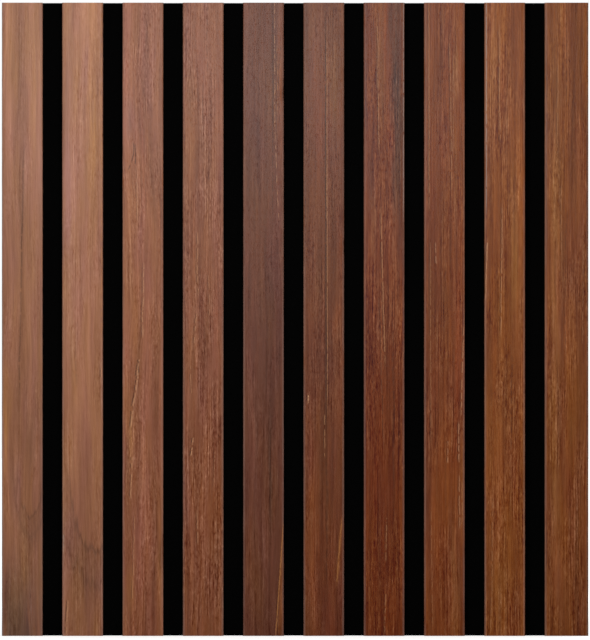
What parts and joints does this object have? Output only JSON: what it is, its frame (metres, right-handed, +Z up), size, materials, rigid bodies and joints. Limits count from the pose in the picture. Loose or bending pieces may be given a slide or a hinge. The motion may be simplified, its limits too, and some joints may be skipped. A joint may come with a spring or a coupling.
{
  "type": "acoustic slat wall panel",
  "caption": "Flat wall panel of upright walnut-veneered slats set side by side with open grooves on a black felt backing, to line a wall and damp sound.",
  "frame": {"origin": "middle of the back of the felt, on the wall's surface", "axes": "+X to the right along the panel as seen from the room, +Y into the wall, +Z up along the slats"},
  "size_m": [0.389, 0.021, 0.42],
  "materials": {
    "acoustic_felt": "matt black pressed polyester felt",
    "fibreboard": "raw sawn medium-density fibreboard",
    "wood_veneer": "oiled dark brown straight-grained veneer, satin",
    "staple_steel": "galvanised wire"
  },
  "bodies": {
    "root": {"felt_backing": "acoustic_felt", "slat_core_01": "fibreboard", "slat_core_02": "fibreboard", "slat_core_03": "fibreboard", "slat_core_04": "fibreboard", "slat_core_05": "fibreboard", "slat_core_06": "fibreboard", "slat_core_07": "fibreboard", "slat_core_08": "fibreboard", "slat_core_09": "fibreboard", "slat_core_10": "fibreboard", "slat_veneer_01": "wood_veneer", "slat_veneer_02": "wood_veneer", "slat_veneer_03": "wood_veneer", "slat_veneer_04": "wood_veneer", "slat_veneer_05": "wood_veneer", "slat_veneer_06": "wood_veneer", "slat_veneer_07": "wood_veneer", "slat_veneer_08": "wood_veneer", "slat_veneer_09": "wood_veneer", "slat_veneer_10": "wood_veneer", "back_staples": "staple_steel"}
  },
  "joints": []
}
